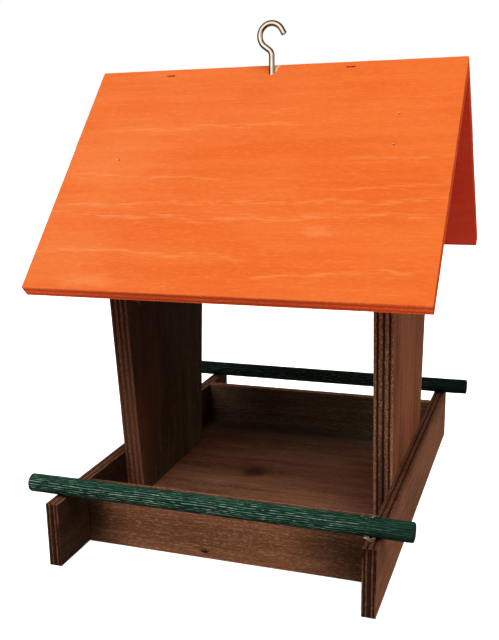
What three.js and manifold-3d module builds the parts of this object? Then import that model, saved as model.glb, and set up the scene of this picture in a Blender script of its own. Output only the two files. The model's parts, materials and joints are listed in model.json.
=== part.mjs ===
// Hanging bird feeder: a tray between two long rails, two gabled uprights, a pitched roof of two
// boards, a round perch across each open end and a wire screw hook in the ridge.
// Millimetres, +Z up. X runs along the ridge, -Y is the front.
// The origin is on the ground under the middle of the feeder.

import * as THREE from 'three';
import { mergeVertices } from 'three/addons/utils/BufferGeometryUtils.js';
import Module from 'manifold-3d';

const wasm = await Module();
wasm.setup();

// ---------------------------------------------------------------- driving dimensions

const CLEARANCE = 0.3; // gap round a fastener, in a bore and under a tilted board

// Tray
const TRAY_WIDTH = 248; // across the outer faces of the rails
const TRAY_DEPTH = 284; // across the outer faces of the front and back boards
const RAIL_LENGTH = 376;
const RAIL_THICKNESS = 10;
const TRAY_HEIGHT = 50.5; // rails and boards alike
const BOARD_THICKNESS = 8;
const FLOOR_THICKNESS = 12;

// Uprights
const UPRIGHT_THICKNESS = 15;
const UPRIGHT_FOOT_WIDTH = 137;
const UPRIGHT_SHOULDER_WIDTH = 184;

// Roof
const ROOF_PITCH = Math.PI / 4; // a square corner at the ridge
const RIDGE_HEIGHT = 363.5;
const ROOF_LENGTH = 300;
const ROOF_THICKNESS = 10;
const FRONT_PANEL_WIDTH = 221;
const BACK_PANEL_WIDTH = 208;
const BATTEN_SIDE = 18;
const BATTEN_END_GAP = 0.3;

// Perches
const PERCH_DIAMETER = 14.4;
const PERCH_LENGTH = 291;
const PERCH_CHAMFER = 2;
const PERCH_OFFSET = 170; // from the middle of the tray to the perch's axis

// Screw hook
const WIRE_DIAMETER = 4.6;
const HOOK_SETBACK = 5; // the shank stands this far in front of the ridge line
const LOOP_RADIUS = 9.5; // centre line of the wire
const LOOP_HEIGHT = 21.5; // middle of the loop above the ridge
const LOOP_EXIT_ANGLE = THREE.MathUtils.degToRad(29); // where the arc turns into the straight tip
const LOOP_TIP_LENGTH = 4.5;
const NECK_ANGLE = THREE.MathUtils.degToRad(54); // the loop runs this far past its half turn into the neck
const NECK_RADIUS = 5.5;
const THREAD_ROOT_RADIUS = 1.65;
const THREAD_PITCH = 2.2;
const THREAD_HALF_WIDTH = 0.5;
const THREAD_TOP = 357; // height at which the thread starts
const THREAD_LENGTH = 25;
const POINT_LENGTH = 4;

// Staples and brads
const STAPLE = { width: 7, length: 22, wire: 1.2 };
const PERCH_STAPLE = { width: 7.6, length: 26, wire: 1.2 };
const BRAD = { head: 2.4, headDepth: 1.2, length: 25, wire: 1.2 };
const ROOF_BRAD = { head: 2.4, headDepth: 1.2, length: 30, wire: 1.2 };
const UPRIGHT_BRAD = { ...BRAD, length: 21 };
const SINK = 0.5; // heads and crowns lie this deep below the surface
const SLOT_MOUTH = 1; // a slot is cut from this far outside the surface

// Where they are driven. Distances on the roof run down the slope from the ridge.
const RIDGE_STAPLES = { left: { x: -86.5, below: 7.2 }, right: { x: 63, below: 5.8 } };
const ROOF_BRADS = {
  front: { left: [50, 97.5], right: [56, 85.5] },
  back: { left: [54, 92], right: [52, 95] },
};
const BATTEN_BRAD_OFFSET = 4; // behind the middle, clear of the hook's plane
const RAIL_BRAD_HEIGHTS = [15, 35];
const UPRIGHT_BRAD_OFFSET = 30;
const UPRIGHT_BRAD_HEIGHT = 31;
const FLOOR_BRAD_OFFSET = 95;
const BOARD_STAPLE_X = -15.4;

// Worked out from the above
const RAIL_INNER = TRAY_WIDTH / 2 - RAIL_THICKNESS;
const RAIL_MIDDLE = TRAY_WIDTH / 2 - RAIL_THICKNESS / 2;
const UPRIGHT_MIDDLE = RAIL_INNER - UPRIGHT_THICKNESS / 2;
const BOARD_MIDDLE = TRAY_DEPTH / 2 - BOARD_THICKNESS / 2;
const INNER_APEX_HEIGHT = RIDGE_HEIGHT - ROOF_THICKNESS / Math.cos(ROOF_PITCH);
const PERCH_HEIGHT = TRAY_HEIGHT + CLEARANCE + PERCH_DIAMETER / 2;

// ---------------------------------------------------------------- materials

const material = {
  orange: () => new THREE.MeshStandardMaterial({ color: 0xf06a26, roughness: 0.55, metalness: 0 }),
  brown: () => new THREE.MeshStandardMaterial({ color: 0x5a3a28, roughness: 0.65, metalness: 0 }),
  green: () => new THREE.MeshStandardMaterial({ color: 0x1f4a3c, roughness: 0.7, metalness: 0 }),
  zinc: () => new THREE.MeshStandardMaterial({ color: 0xb8a46a, roughness: 0.3, metalness: 1 }),
  steel: () => new THREE.MeshStandardMaterial({ color: 0x9a9a98, roughness: 0.4, metalness: 1 }),
};

// ---------------------------------------------------------------- shapes and cuts

function named(name, geometry, finish) {
  const mesh = new THREE.Mesh(geometry, finish);
  mesh.name = name;
  return mesh;
}

function box(name, width, depth, height, finish) {
  return named(name, new THREE.BoxGeometry(width, depth, height), finish);
}

// A closed geometry, moved by `matrix`, as a solid that can be cut and joined.
function toSolid(geometry, matrix = new THREE.Matrix4()) {
  const bare = geometry.clone().applyMatrix4(matrix);
  bare.deleteAttribute('normal');
  bare.deleteAttribute('uv');
  const welded = mergeVertices(bare, 1e-4);
  return new wasm.Manifold(new wasm.Mesh({
    numProp: 3,
    vertProperties: new Float32Array(welded.attributes.position.array),
    triVerts: new Uint32Array(welded.index.array),
  }));
}

function toGeometry(solid) {
  const { vertProperties, triVerts } = solid.getMesh();
  const geometry = new THREE.BufferGeometry();
  geometry.setAttribute('position', new THREE.BufferAttribute(vertProperties, 3));
  geometry.setIndex(new THREE.BufferAttribute(triVerts, 1));
  geometry.computeVertexNormals();
  return geometry;
}

// Cut the cutter out of the host, wherever the two stand in the scene.
function carve(host, cutter) {
  host.updateWorldMatrix(true, false);
  cutter.updateWorldMatrix(true, false);
  const cutterToHost = host.matrixWorld.clone().invert().multiply(cutter.matrixWorld);
  const solid = toSolid(host.geometry).subtract(toSolid(cutter.geometry, cutterToHost));
  host.geometry = toGeometry(solid);
}

// A flat outline in X and Z, made `thickness` deep and centred on Y = 0.
function plate(points, thickness) {
  const shape = new THREE.Shape(points.map(([x, z]) => new THREE.Vector2(x, z)));
  const geometry = new THREE.ExtrudeGeometry(shape, { depth: thickness, bevelEnabled: false });
  return geometry.translate(0, 0, -thickness / 2).rotateX(Math.PI / 2);
}

// ---------------------------------------------------------------- tray

function makeRail(name, side) {
  const rail = box(name, RAIL_THICKNESS, RAIL_LENGTH, TRAY_HEIGHT, material.brown());
  rail.position.set(side * RAIL_MIDDLE, 0, TRAY_HEIGHT / 2);
  return rail;
}

function makeBoard(name, side) {
  const board = box(name, 2 * RAIL_INNER, BOARD_THICKNESS, TRAY_HEIGHT, material.brown());
  board.position.set(0, side * BOARD_MIDDLE, TRAY_HEIGHT / 2);
  return board;
}

function makeFloor() {
  const depth = TRAY_DEPTH - 2 * BOARD_THICKNESS;
  const floor = box('floor_panel', 2 * RAIL_INNER, depth, FLOOR_THICKNESS, material.brown());
  floor.position.set(0, 0, FLOOR_THICKNESS / 2);
  return floor;
}

// ---------------------------------------------------------------- uprights

// The gable's slopes lie a clearance below the roof boards' inner faces.
function uprightOutline() {
  const foot = UPRIGHT_FOOT_WIDTH / 2;
  const shoulder = UPRIGHT_SHOULDER_WIDTH / 2;
  const apex = INNER_APEX_HEIGHT - CLEARANCE / Math.cos(ROOF_PITCH);
  const shoulderHeight = apex - shoulder * Math.tan(ROOF_PITCH);
  return [
    [-foot, FLOOR_THICKNESS],
    [foot, FLOOR_THICKNESS],
    [shoulder, shoulderHeight],
    [0, apex],
    [-shoulder, shoulderHeight],
  ];
}

function makeUpright(name, side) {
  const outline = plate(uprightOutline(), UPRIGHT_THICKNESS);
  const upright = named(name, outline, material.brown());
  upright.rotation.z = Math.PI / 2;
  upright.position.x = side * UPRIGHT_MIDDLE;
  return upright;
}

// ---------------------------------------------------------------- roof

// A slope's group stands on the ridge: X along the ridge, Z out of the roof's outer face. The front
// slope falls towards its -Y and the back slope towards its +Y.
function makeSlope(side) {
  const slope = new THREE.Group();
  slope.position.z = RIDGE_HEIGHT;
  slope.rotation.x = -side * ROOF_PITCH;
  return slope;
}

function makeRoofPanel(name, from, to) {
  const panel = box(name, ROOF_LENGTH, to - from, ROOF_THICKNESS, material.orange());
  panel.position.set(0, (from + to) / 2, -ROOF_THICKNESS / 2);
  return panel;
}

// A square bar with one edge up, in the corner under the ridge.
function makeBatten() {
  const length = 2 * (RAIL_INNER - UPRIGHT_THICKNESS - BATTEN_END_GAP);
  const batten = box('ridge_batten', length, BATTEN_SIDE, BATTEN_SIDE, material.brown());
  const halfDiagonal = BATTEN_SIDE * Math.SQRT1_2;
  batten.rotation.x = ROOF_PITCH;
  batten.position.z = INNER_APEX_HEIGHT - CLEARANCE / Math.cos(ROOF_PITCH) - halfDiagonal;
  return batten;
}

// ---------------------------------------------------------------- perches

function makePerch(name, side) {
  const radius = PERCH_DIAMETER / 2;
  const half = PERCH_LENGTH / 2;
  const profile = [
    [0, -half],
    [radius - PERCH_CHAMFER, -half],
    [radius, -half + PERCH_CHAMFER],
    [radius, half - PERCH_CHAMFER],
    [radius - PERCH_CHAMFER, half],
    [0, half],
  ].map(([r, y]) => new THREE.Vector2(r, y));
  const perch = named(name, new THREE.LatheGeometry(profile, 32), material.green());
  perch.rotation.z = Math.PI / 2;
  perch.position.set(0, side * PERCH_OFFSET, PERCH_HEIGHT);
  return perch;
}

// ---------------------------------------------------------------- screw hook

class Arc extends THREE.Curve {
  constructor(centre, radius, from, to) {
    super();
    Object.assign(this, { centre, radius, from, to });
  }

  getPoint(t, target = new THREE.Vector3()) {
    const angle = THREE.MathUtils.lerp(this.from, this.to, t);
    const x = this.centre.x + this.radius * Math.cos(angle);
    const z = this.centre.z + this.radius * Math.sin(angle);
    return target.set(x, this.centre.y, z);
  }
}

// The wire's centre line, from the tip over the loop and down the shank. Its origin is on the shank
// at the height of the ridge.
function hookPath(bottom) {
  const middle = new THREE.Vector3(0, 0, LOOP_HEIGHT);
  const loop = new Arc(middle, LOOP_RADIUS, LOOP_EXIT_ANGLE, Math.PI + NECK_ANGLE);
  const loopStart = loop.getPoint(0);
  const tipDirection = new THREE.Vector3(Math.sin(LOOP_EXIT_ANGLE), 0, -Math.cos(LOOP_EXIT_ANGLE));
  const tip = loopStart.clone().addScaledVector(tipDirection, LOOP_TIP_LENGTH);

  // The neck runs straight on from the loop and bends down into the shank.
  const loopEnd = loop.getPoint(1);
  const bendStartX = -NECK_RADIUS * (1 - Math.cos(NECK_ANGLE));
  const bendStartZ = loopEnd.z - (bendStartX - loopEnd.x) / Math.tan(NECK_ANGLE);
  const bendStart = new THREE.Vector3(bendStartX, 0, bendStartZ);
  const bendCentre = new THREE.Vector3(-NECK_RADIUS, 0, bendStartZ - NECK_RADIUS * Math.sin(NECK_ANGLE));
  const bend = new Arc(bendCentre, NECK_RADIUS, NECK_ANGLE, 0);

  const path = new THREE.CurvePath();
  path.add(new THREE.LineCurve3(tip, loopStart));
  path.add(loop);
  path.add(new THREE.LineCurve3(loopEnd, bendStart));
  path.add(bend);
  path.add(new THREE.LineCurve3(bend.getPoint(1), new THREE.Vector3(0, 0, bottom)));
  return path;
}

function wireSection(radius, sides) {
  const section = new THREE.Shape();
  for (let i = 0; i < sides; i += 1) {
    const angle = (2 * Math.PI * i) / sides;
    const point = [radius * Math.cos(angle), radius * Math.sin(angle)];
    if (i === 0) section.moveTo(...point);
    else section.lineTo(...point);
  }
  section.closePath();
  return section;
}

// A ridge of triangular section that winds up round the Z axis from `bottom`.
function threadRidge(bottom, turns, root, crest) {
  const stepsPerTurn = 16;
  const steps = Math.round(turns * stepsPerTurn);
  const positions = [];
  const index = [];
  for (let i = 0; i <= steps; i += 1) {
    const angle = (2 * Math.PI * i) / stepsPerTurn;
    const height = bottom + (THREAD_PITCH * i) / stepsPerTurn;
    const corners = [
      [root, height - THREAD_HALF_WIDTH],
      [crest, height],
      [root, height + THREAD_HALF_WIDTH],
    ];
    for (const [r, z] of corners) positions.push(r * Math.cos(angle), r * Math.sin(angle), z);
  }
  for (let i = 0; i < steps; i += 1) {
    for (let side = 0; side < 3; side += 1) {
      const a = 3 * i + side;
      const b = 3 * i + ((side + 1) % 3);
      index.push(a, a + 3, b, b, a + 3, b + 3);
    }
  }
  const last = 3 * steps;
  index.push(0, 1, 2, last, last + 2, last + 1);
  const geometry = new THREE.BufferGeometry();
  geometry.setAttribute('position', new THREE.Float32BufferAttribute(positions, 3));
  geometry.setIndex(index);
  return geometry;
}

function makeHook() {
  const radius = WIRE_DIAMETER / 2;
  const threadTop = THREAD_TOP - RIDGE_HEIGHT;
  const point = threadTop - THREAD_LENGTH;
  const wire = new THREE.ExtrudeGeometry(wireSection(radius, 14), {
    steps: 64,
    extrudePath: hookPath(threadTop),
  });
  const coreProfile = [
    [0, point],
    [THREAD_ROOT_RADIUS, point + POINT_LENGTH],
    [THREAD_ROOT_RADIUS, threadTop + 1],
    [0, threadTop + 1],
  ].map(([r, z]) => new THREE.Vector2(r, z));
  const core = new THREE.LatheGeometry(coreProfile, 14).rotateX(Math.PI / 2);
  const turns = Math.floor((THREAD_LENGTH - POINT_LENGTH) / THREAD_PITCH);
  const ridge = threadRidge(point + POINT_LENGTH, turns, THREAD_ROOT_RADIUS - 0.3, radius);
  const solid = toSolid(wire).add(toSolid(core)).add(toSolid(ridge));
  const hook = named('screw_hook', toGeometry(solid), material.zinc());
  hook.position.set(0, -HOOK_SETBACK, RIDGE_HEIGHT);
  return hook;
}

// The hole that the shank and its thread turn in.
function makeHookBore() {
  const radius = WIRE_DIAMETER / 2 + CLEARANCE;
  const bottom = THREAD_TOP - THREAD_LENGTH - CLEARANCE;
  const bore = new THREE.Mesh(new THREE.CylinderGeometry(radius, radius, RIDGE_HEIGHT - bottom, 24));
  bore.rotation.x = Math.PI / 2;
  bore.position.set(0, -HOOK_SETBACK, (RIDGE_HEIGHT + bottom) / 2);
  return bore;
}

// ---------------------------------------------------------------- staples and brads

// Both are driven along their own -Z from the surface at Z = 0. `grow` widens the outline into the
// slot that the fastener lies in, which is open at the surface.
function stapleOutline({ width, length, wire }, grow) {
  const outer = width / 2 + grow;
  const inner = width / 2 - wire - grow;
  const top = grow > 0 ? SLOT_MOUTH : -SINK;
  const underCrown = -SINK - wire - grow;
  const tip = -SINK - length - grow;
  return [
    [-outer, top],
    [-outer, tip],
    [-inner, tip + wire],
    [-inner, underCrown],
    [inner, underCrown],
    [inner, tip + wire],
    [outer, tip],
    [outer, top],
  ];
}

function bradOutline({ head, headDepth, length, wire }, grow) {
  const headHalf = head / 2 + grow;
  const half = wire / 2 + grow;
  const top = grow > 0 ? SLOT_MOUTH : -SINK;
  const underHead = -SINK - headDepth - grow;
  const tip = -SINK - length - grow;
  return [
    [-headHalf, top],
    [-headHalf, underHead],
    [-half, underHead],
    [-half, tip + wire],
    [0, tip],
    [half, tip + wire],
    [half, underHead],
    [headHalf, underHead],
    [headHalf, top],
  ];
}

// Put a fastener in `frame` and cut its slot in every piece that it passes through.
function fasten(frame, name, outline, size, { at, turn = [0, 0, 0] }, hosts) {
  const fastener = named(name, plate(outline(size, 0), size.wire), material.steel());
  const slot = new THREE.Mesh(plate(outline(size, CLEARANCE), size.wire + 2 * CLEARANCE));
  for (const object of [fastener, slot]) {
    object.position.set(...at);
    object.rotation.set(...turn);
    frame.add(object);
  }
  for (const host of hosts) carve(host, slot);
  frame.remove(slot);
}

// ---------------------------------------------------------------- assembly

const SIDES = [['left', -1], ['right', 1]];
const ENDS = [['front', -1], ['back', 1]];
const QUARTER = Math.PI / 2;

function assemble() {
  const feeder = new THREE.Group();
  const slopes = { front: makeSlope(-1), back: makeSlope(1) };
  feeder.add(slopes.front, slopes.back);

  const panels = {
    front: makeRoofPanel('roof_front_panel', -FRONT_PANEL_WIDTH, 0),
    back: makeRoofPanel(
      'roof_back_panel',
      ROOF_THICKNESS + CLEARANCE,
      ROOF_THICKNESS + CLEARANCE + BACK_PANEL_WIDTH,
    ),
  };
  slopes.front.add(panels.front);
  slopes.back.add(panels.back);

  const batten = makeBatten();
  const floor = makeFloor();
  const rails = {};
  const uprights = {};
  for (const [side, sign] of SIDES) {
    rails[side] = makeRail(`${side}_rail`, sign);
    uprights[side] = makeUpright(`${side}_upright`, sign);
    feeder.add(rails[side], uprights[side]);
  }
  const boards = {};
  const perches = {};
  for (const [end, sign] of ENDS) {
    boards[end] = makeBoard(`${end}_board`, sign);
    perches[end] = makePerch(`${end}_perch`, sign);
    feeder.add(boards[end], perches[end]);
  }
  feeder.add(batten, floor, makeHook());

  const bore = makeHookBore();
  carve(panels.front, bore);
  carve(batten, bore);

  fastenRoof(slopes, panels, uprights, feeder, batten);
  fastenTray(feeder, rails, boards, floor, uprights);
  fastenPerches(feeder, perches, rails);
  return feeder;
}

// Staples join the two boards at the ridge, and brads hold each board to the gables.
function fastenRoof(slopes, panels, uprights, feeder, batten) {
  for (const [side, { x, below }] of Object.entries(RIDGE_STAPLES)) {
    const name = `ridge_staple_${side}`;
    const place = { at: [x, -below, 0] };
    fasten(slopes.front, name, stapleOutline, STAPLE, place, [panels.front, panels.back]);
  }

  for (const [end, endSign] of ENDS) {
    for (const [side, sideSign] of SIDES) {
      ROOF_BRADS[end][side].forEach((below, i) => {
        const name = `roof_brad_${end}_${side}_${i + 1}`;
        const place = { at: [sideSign * UPRIGHT_MIDDLE, endSign * below, 0] };
        fasten(slopes[end], name, bradOutline, ROOF_BRAD, place, [panels[end], uprights[side]]);
      });
    }
  }

  for (const [side, sign] of SIDES) {
    const at = [sign * RAIL_INNER, BATTEN_BRAD_OFFSET, batten.position.z];
    const place = { at, turn: [0, sign * QUARTER, 0] };
    fasten(feeder, `batten_brad_${side}`, bradOutline, ROOF_BRAD, place, [uprights[side], batten]);
  }
}

// The rails are nailed to the boards, the uprights and the floor. The boards are stapled to the floor.
function fastenTray(feeder, rails, boards, floor, uprights) {
  for (const [side, sign] of SIDES) {
    const rail = rails[side];
    const turn = [0, sign * QUARTER, 0];
    const outside = sign * (TRAY_WIDTH / 2);
    for (const [end, endSign] of ENDS) {
      RAIL_BRAD_HEIGHTS.forEach((height, i) => {
        const name = `rail_brad_${side}_${end}_${i + 1}`;
        const place = { at: [outside, endSign * BOARD_MIDDLE, height], turn };
        fasten(feeder, name, bradOutline, BRAD, place, [rail, boards[end]]);
      });

      const uprightName = `upright_brad_${side}_${end}`;
      const uprightPlace = {
        at: [outside, endSign * UPRIGHT_BRAD_OFFSET, UPRIGHT_BRAD_HEIGHT],
        turn,
      };
      fasten(feeder, uprightName, bradOutline, UPRIGHT_BRAD, uprightPlace, [rail, uprights[side]]);

      const floorName = `floor_brad_${side}_${end}`;
      const floorPlace = { at: [outside, endSign * FLOOR_BRAD_OFFSET, FLOOR_THICKNESS / 2], turn };
      fasten(feeder, floorName, bradOutline, BRAD, floorPlace, [rail, floor]);
    }
  }
  for (const [end, sign] of ENDS) {
    const at = [BOARD_STAPLE_X, sign * (TRAY_DEPTH / 2), FLOOR_THICKNESS / 2];
    const place = { at, turn: [-sign * QUARTER, 0, 0] };
    fasten(feeder, `${end}_board_staple`, stapleOutline, STAPLE, place, [boards[end], floor]);
  }
}

// One staple goes down through each perch into each rail's top edge.
function fastenPerches(feeder, perches, rails) {
  const top = PERCH_HEIGHT + PERCH_DIAMETER / 2;
  for (const [end, endSign] of ENDS) {
    for (const [side, sideSign] of SIDES) {
      const name = `perch_staple_${end}_${side}`;
      const place = { at: [sideSign * RAIL_MIDDLE, endSign * PERCH_OFFSET, top] };
      const hosts = [perches[end], rails[side]];
      fasten(feeder, name, stapleOutline, PERCH_STAPLE, place, hosts);
    }
  }
}

export default assemble();
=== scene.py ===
"""Hanging plywood bird feeder: its looks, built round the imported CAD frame. Metres, +Z up, -Y front."""

import json
import random
from math import cos, pi, radians, sin, tan
from types import SimpleNamespace

import bmesh
import bpy
from mathutils import Matrix, Vector, geometry, noise

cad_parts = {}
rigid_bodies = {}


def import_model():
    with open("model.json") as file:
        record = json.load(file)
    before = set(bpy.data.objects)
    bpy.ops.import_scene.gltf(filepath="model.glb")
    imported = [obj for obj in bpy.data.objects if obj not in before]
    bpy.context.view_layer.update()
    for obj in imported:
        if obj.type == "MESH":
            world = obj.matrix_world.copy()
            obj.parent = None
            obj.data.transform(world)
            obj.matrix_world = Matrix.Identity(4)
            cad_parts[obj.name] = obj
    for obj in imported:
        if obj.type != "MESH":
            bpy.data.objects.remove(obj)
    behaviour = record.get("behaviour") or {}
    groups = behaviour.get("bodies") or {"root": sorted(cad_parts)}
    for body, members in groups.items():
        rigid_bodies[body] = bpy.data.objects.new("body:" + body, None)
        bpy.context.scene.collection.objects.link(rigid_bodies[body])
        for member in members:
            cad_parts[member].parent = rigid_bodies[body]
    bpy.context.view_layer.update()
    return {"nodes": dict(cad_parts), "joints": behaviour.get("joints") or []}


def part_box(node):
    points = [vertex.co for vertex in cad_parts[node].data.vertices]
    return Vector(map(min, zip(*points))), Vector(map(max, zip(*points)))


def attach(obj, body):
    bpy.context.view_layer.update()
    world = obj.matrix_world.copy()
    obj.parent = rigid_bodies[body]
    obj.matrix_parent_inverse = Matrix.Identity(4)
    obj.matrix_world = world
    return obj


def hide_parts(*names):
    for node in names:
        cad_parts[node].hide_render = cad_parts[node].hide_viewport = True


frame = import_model()

MM = 0.001
FEEDER_BODY = "feeder"
HOOK_BODY = "hook"

# ---- axes of the pieces

# A piece's own axes are X along the grain, Y across it and Z through the thickness.
UP = Vector((0, 0, 1))
RIGHT = Vector((1, 0, 0))
BACK = Vector((0, 1, 0))
FRONT_SLOPE_OUT = Vector((0, -1, 1)).normalized()
BACK_SLOPE_OUT = Vector((0, 1, 1)).normalized()


def axes(along, normal):
    """A rotation whose X is `along` and whose Z is `normal`."""
    across = normal.cross(along)
    return Matrix((along, across, normal)).transposed()


def local_points(node, turn):
    """The CAD node's vertices in a frame turned by `turn`, in metres."""
    back = turn.transposed()
    return [back @ v.co for v in frame["nodes"][node].data.vertices]


def local_box(node, turn):
    """The lowest and highest corner of the CAD node's box in that frame."""
    points = local_points(node, turn)
    low = Vector([min(p[i] for p in points) for i in range(3)])
    high = Vector([max(p[i] for p in points) for i in range(3)])
    return low, high


def half_size_mm(node, turn):
    """Half of that box's length, width and thickness."""
    low, high = local_box(node, turn)
    return [(high[i] - low[i]) / MM / 2 for i in range(3)]


def placing(turn, centre):
    """Takes a piece's own axes, turned by `turn` about its `centre` in them, to the shared frame."""
    return Matrix.Translation(turn @ centre) @ turn.to_4x4()


# ---- mesh helpers


def add_object(name, data):
    made = bpy.data.objects.new(name, data)
    bpy.context.scene.collection.objects.link(made)
    return made


def place(name, mesh, turn, centre, material, node_names, slot, body=FEEDER_BODY):
    """Put a mesh in its own axes where the CAD has it, and let it stand for those nodes."""
    piece = add_object(name, mesh)
    piece.matrix_world = placing(turn, centre)
    mesh.materials.clear()
    mesh.materials.append(material)
    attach(piece, body)
    if node_names:
        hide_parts(*node_names)
    return piece


def mesh_from(name, vertices, faces, smooth=None):
    mesh = bpy.data.meshes.new(name)
    mesh.from_pydata(vertices, [], faces)
    mesh.polygons.foreach_set("use_smooth", smooth or [True] * len(faces))
    mesh.update()
    return mesh


def join_rings(rings):
    """Vertices, faces and smooth flags of a closed skin over rings of as many points each."""
    count = len(rings[0])
    vertices = [point for ring in rings for point in ring]
    faces = []
    smooth = []
    for r in range(len(rings) - 1):
        for i in range(count):
            j = (i + 1) % count
            a, b = r * count + i, r * count + j
            faces.append((a, b, b + count, a + count))
            smooth.append(True)
    faces.append(tuple(reversed(range(count))))
    last = (len(rings) - 1) * count
    faces.append(tuple(range(last, last + count)))
    smooth += [False, False]
    return vertices, faces, smooth


def skin(name, rings, flat_ends=True):
    """A mesh of the closed skin over the rings, whose end faces are shaded flat or smooth."""
    vertices, faces, smooth = join_rings(rings)
    return mesh_from(name, vertices, faces, smooth if flat_ends else None)


def built(name, build):
    """A mesh with what the bmesh holds."""
    mesh = bpy.data.meshes.new(name)
    build.to_mesh(mesh)
    build.free()
    return mesh


def cut(mesh, cutters):
    """Take the closed cutter meshes out of a closed mesh."""
    host = add_object("host", mesh)
    build = bmesh.new()
    for cutter in cutters:
        build.from_mesh(cutter)
    tool = add_object("tool", built("tool", build))
    modifier = host.modifiers.new("cut", "BOOLEAN")
    modifier.operation = "DIFFERENCE"
    modifier.solver = "EXACT"
    modifier.use_self = True
    modifier.object = tool
    graph = bpy.context.evaluated_depsgraph_get()
    result = bpy.data.meshes.new_from_object(host.evaluated_get(graph))
    for thing in (host, tool):
        bpy.data.objects.remove(thing)
    return result


PITS = {}  # by node, the cutters of its pits in the shared frame


def cut_pits(mesh, node, turn, centre):
    """Take the node's pits out of its mesh, which is in its own axes."""
    pits = PITS.get(node, [])
    to_piece = placing(turn, centre).inverted()
    for pit in pits:
        pit.transform(to_piece)
    return cut(mesh, pits) if pits else mesh


# ---- outlines and boards

OUTLINE_STEP = 3.0 * MM
CORNER_RADIUS = 0.7 * MM
ARRIS_RADIUS = 0.55 * MM
SAW_WOBBLE = 0.07 * MM
END_GRAIN_RECESS = 0.16 * MM
GLUE_INSET = 0.12 * MM
ARRIS_GAP = 0.05 * MM
NEAR_POINTS = 0.5 * MM
STRAIGHT_RUN = radians(4)


def corners_of(points):
    """Corners of the convex outline round points, anticlockwise, with none in a straight run."""
    flat = [Vector((p.x, p.y)) for p in points]
    hull = [flat[i] for i in geometry.convex_hull_2d(flat)]
    area = sum(a.x * b.y - b.x * a.y for a, b in zip(hull, hull[1:] + hull[:1]))
    if area < 0:
        hull.reverse()
    apart = [p for i, p in enumerate(hull) if (p - hull[i - 1]).length > NEAR_POINTS]
    kept = []
    for i, point in enumerate(apart):
        before = (point - apart[i - 1]).normalized()
        after = (apart[(i + 1) % len(apart)] - point).normalized()
        if before.dot(after) < cos(STRAIGHT_RUN):
            kept.append(point)
    return kept


def outline_points(corners):
    """Points round a convex outline with rounded corners, each with its outward normal."""
    found = []
    count = len(corners)
    for i, corner in enumerate(corners):
        before = (corner - corners[i - 1]).normalized()
        after = (corners[(i + 1) % count] - corner).normalized()
        normal_before = Vector((before.y, -before.x))
        normal_after = Vector((after.y, -after.x))
        half_turn = before.angle(after) / 2
        inward = -(normal_before + normal_after).normalized()
        middle = corner + inward * (CORNER_RADIUS / cos(half_turn))
        for k in range(4):
            normal = normal_before.lerp(normal_after, k / 3).normalized()
            found.append((middle + normal * CORNER_RADIUS, normal))
        next_corner = corners[(i + 1) % count]
        start = corner + after * CORNER_RADIUS
        run = (next_corner - corner).length - 2 * CORNER_RADIUS
        steps = max(1, round(run / OUTLINE_STEP))
        for k in range(1, steps):
            found.append((start + after * (run * k / steps), normal_after))
    return found


class Plies:
    """A stack of veneers whose grain turns by a right angle from each to the next.

    The outer and inner long plies run along the board and the cross plies run across it. Their
    thicknesses are shares of each other. No cross plies makes a solid board."""

    def __init__(self, cross_plies, outer=1.0, cross=1.0, inner=1.0):
        total = 2 * outer + cross_plies * cross + max(0, cross_plies - 1) * inner
        self.cross_plies = cross_plies
        self.outer = outer / total
        self.cross = cross / total
        self.pitch = (cross + inner) / total

    def spans(self, thickness):
        """(low, high, is it a cross ply) of each veneer, about the board's middle."""
        if not self.cross_plies:
            return [(-thickness / 2, thickness / 2, False)]
        inner = self.pitch - self.cross
        shares = [self.outer] + [self.cross, inner] * self.cross_plies
        shares[-1] = self.outer
        found = []
        low = 0.0
        for number, share in enumerate(shares):
            found.append(((low - 0.5) * thickness, (low + share - 0.5) * thickness, number % 2 == 1))
            low += share
        return found


SOLID = Plies(0)
RAIL_PLIES = Plies(2, outer=0.9, cross=0.45, inner=1.05)
UPRIGHT_PLIES = Plies(3, outer=0.85, cross=0.75, inner=1.1)
ROOF_PLIES = Plies(2, outer=0.70, cross=1.0, inner=1.2)


def board_rings(outline, thickness, plies, seed):
    """Rings up through a board: rounded arrises, and the end-grain plies sawn a little hollow."""
    half = thickness / 2

    def arris_heights(side, angles):
        """(height, how far in, layer) round one rounded arris."""
        turns = [radians(angle) for angle in angles]
        drops = [(ARRIS_RADIUS * (1 - sin(t)), ARRIS_RADIUS * (1 - cos(t))) for t in turns]
        return [(side * (half - drop), inset, 0) for drop, inset in drops]

    heights = arris_heights(-1, (90, 60, 30, 0))
    for low, high, crossed in plies.spans(thickness):
        low_edge = max(low + GLUE_INSET, -half + ARRIS_RADIUS + ARRIS_GAP)
        high_edge = min(high - GLUE_INSET, half - ARRIS_RADIUS - ARRIS_GAP)
        layer = 2 if crossed else 1
        if high_edge > low_edge:
            heights += [(low_edge, 0, layer), (high_edge, 0, layer)]
    heights += arris_heights(1, (0, 30, 60, 90))
    rings = []
    for z, inset, layer in heights:
        ring = []
        for point, normal in outline:
            place_in_noise = Vector((point.x * 160 + seed, point.y * 160, z * 420))
            wobble = SAW_WOBBLE * noise.noise(place_in_noise)
            along_grain_edge = abs(normal.y) > abs(normal.x)
            end_grain = layer > 0 and (layer == 2) == along_grain_edge
            recess = END_GRAIN_RECESS if end_grain and plies.cross_plies else 0
            arris = inset * (1 + 0.5 * noise.noise(place_in_noise * 0.7 + Vector((9, 4, 2))))
            moved = point - normal * (arris + recess + abs(wobble))
            ring.append(Vector((moved.x, moved.y, z)))
        rings.append(ring)
    return rings


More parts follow.
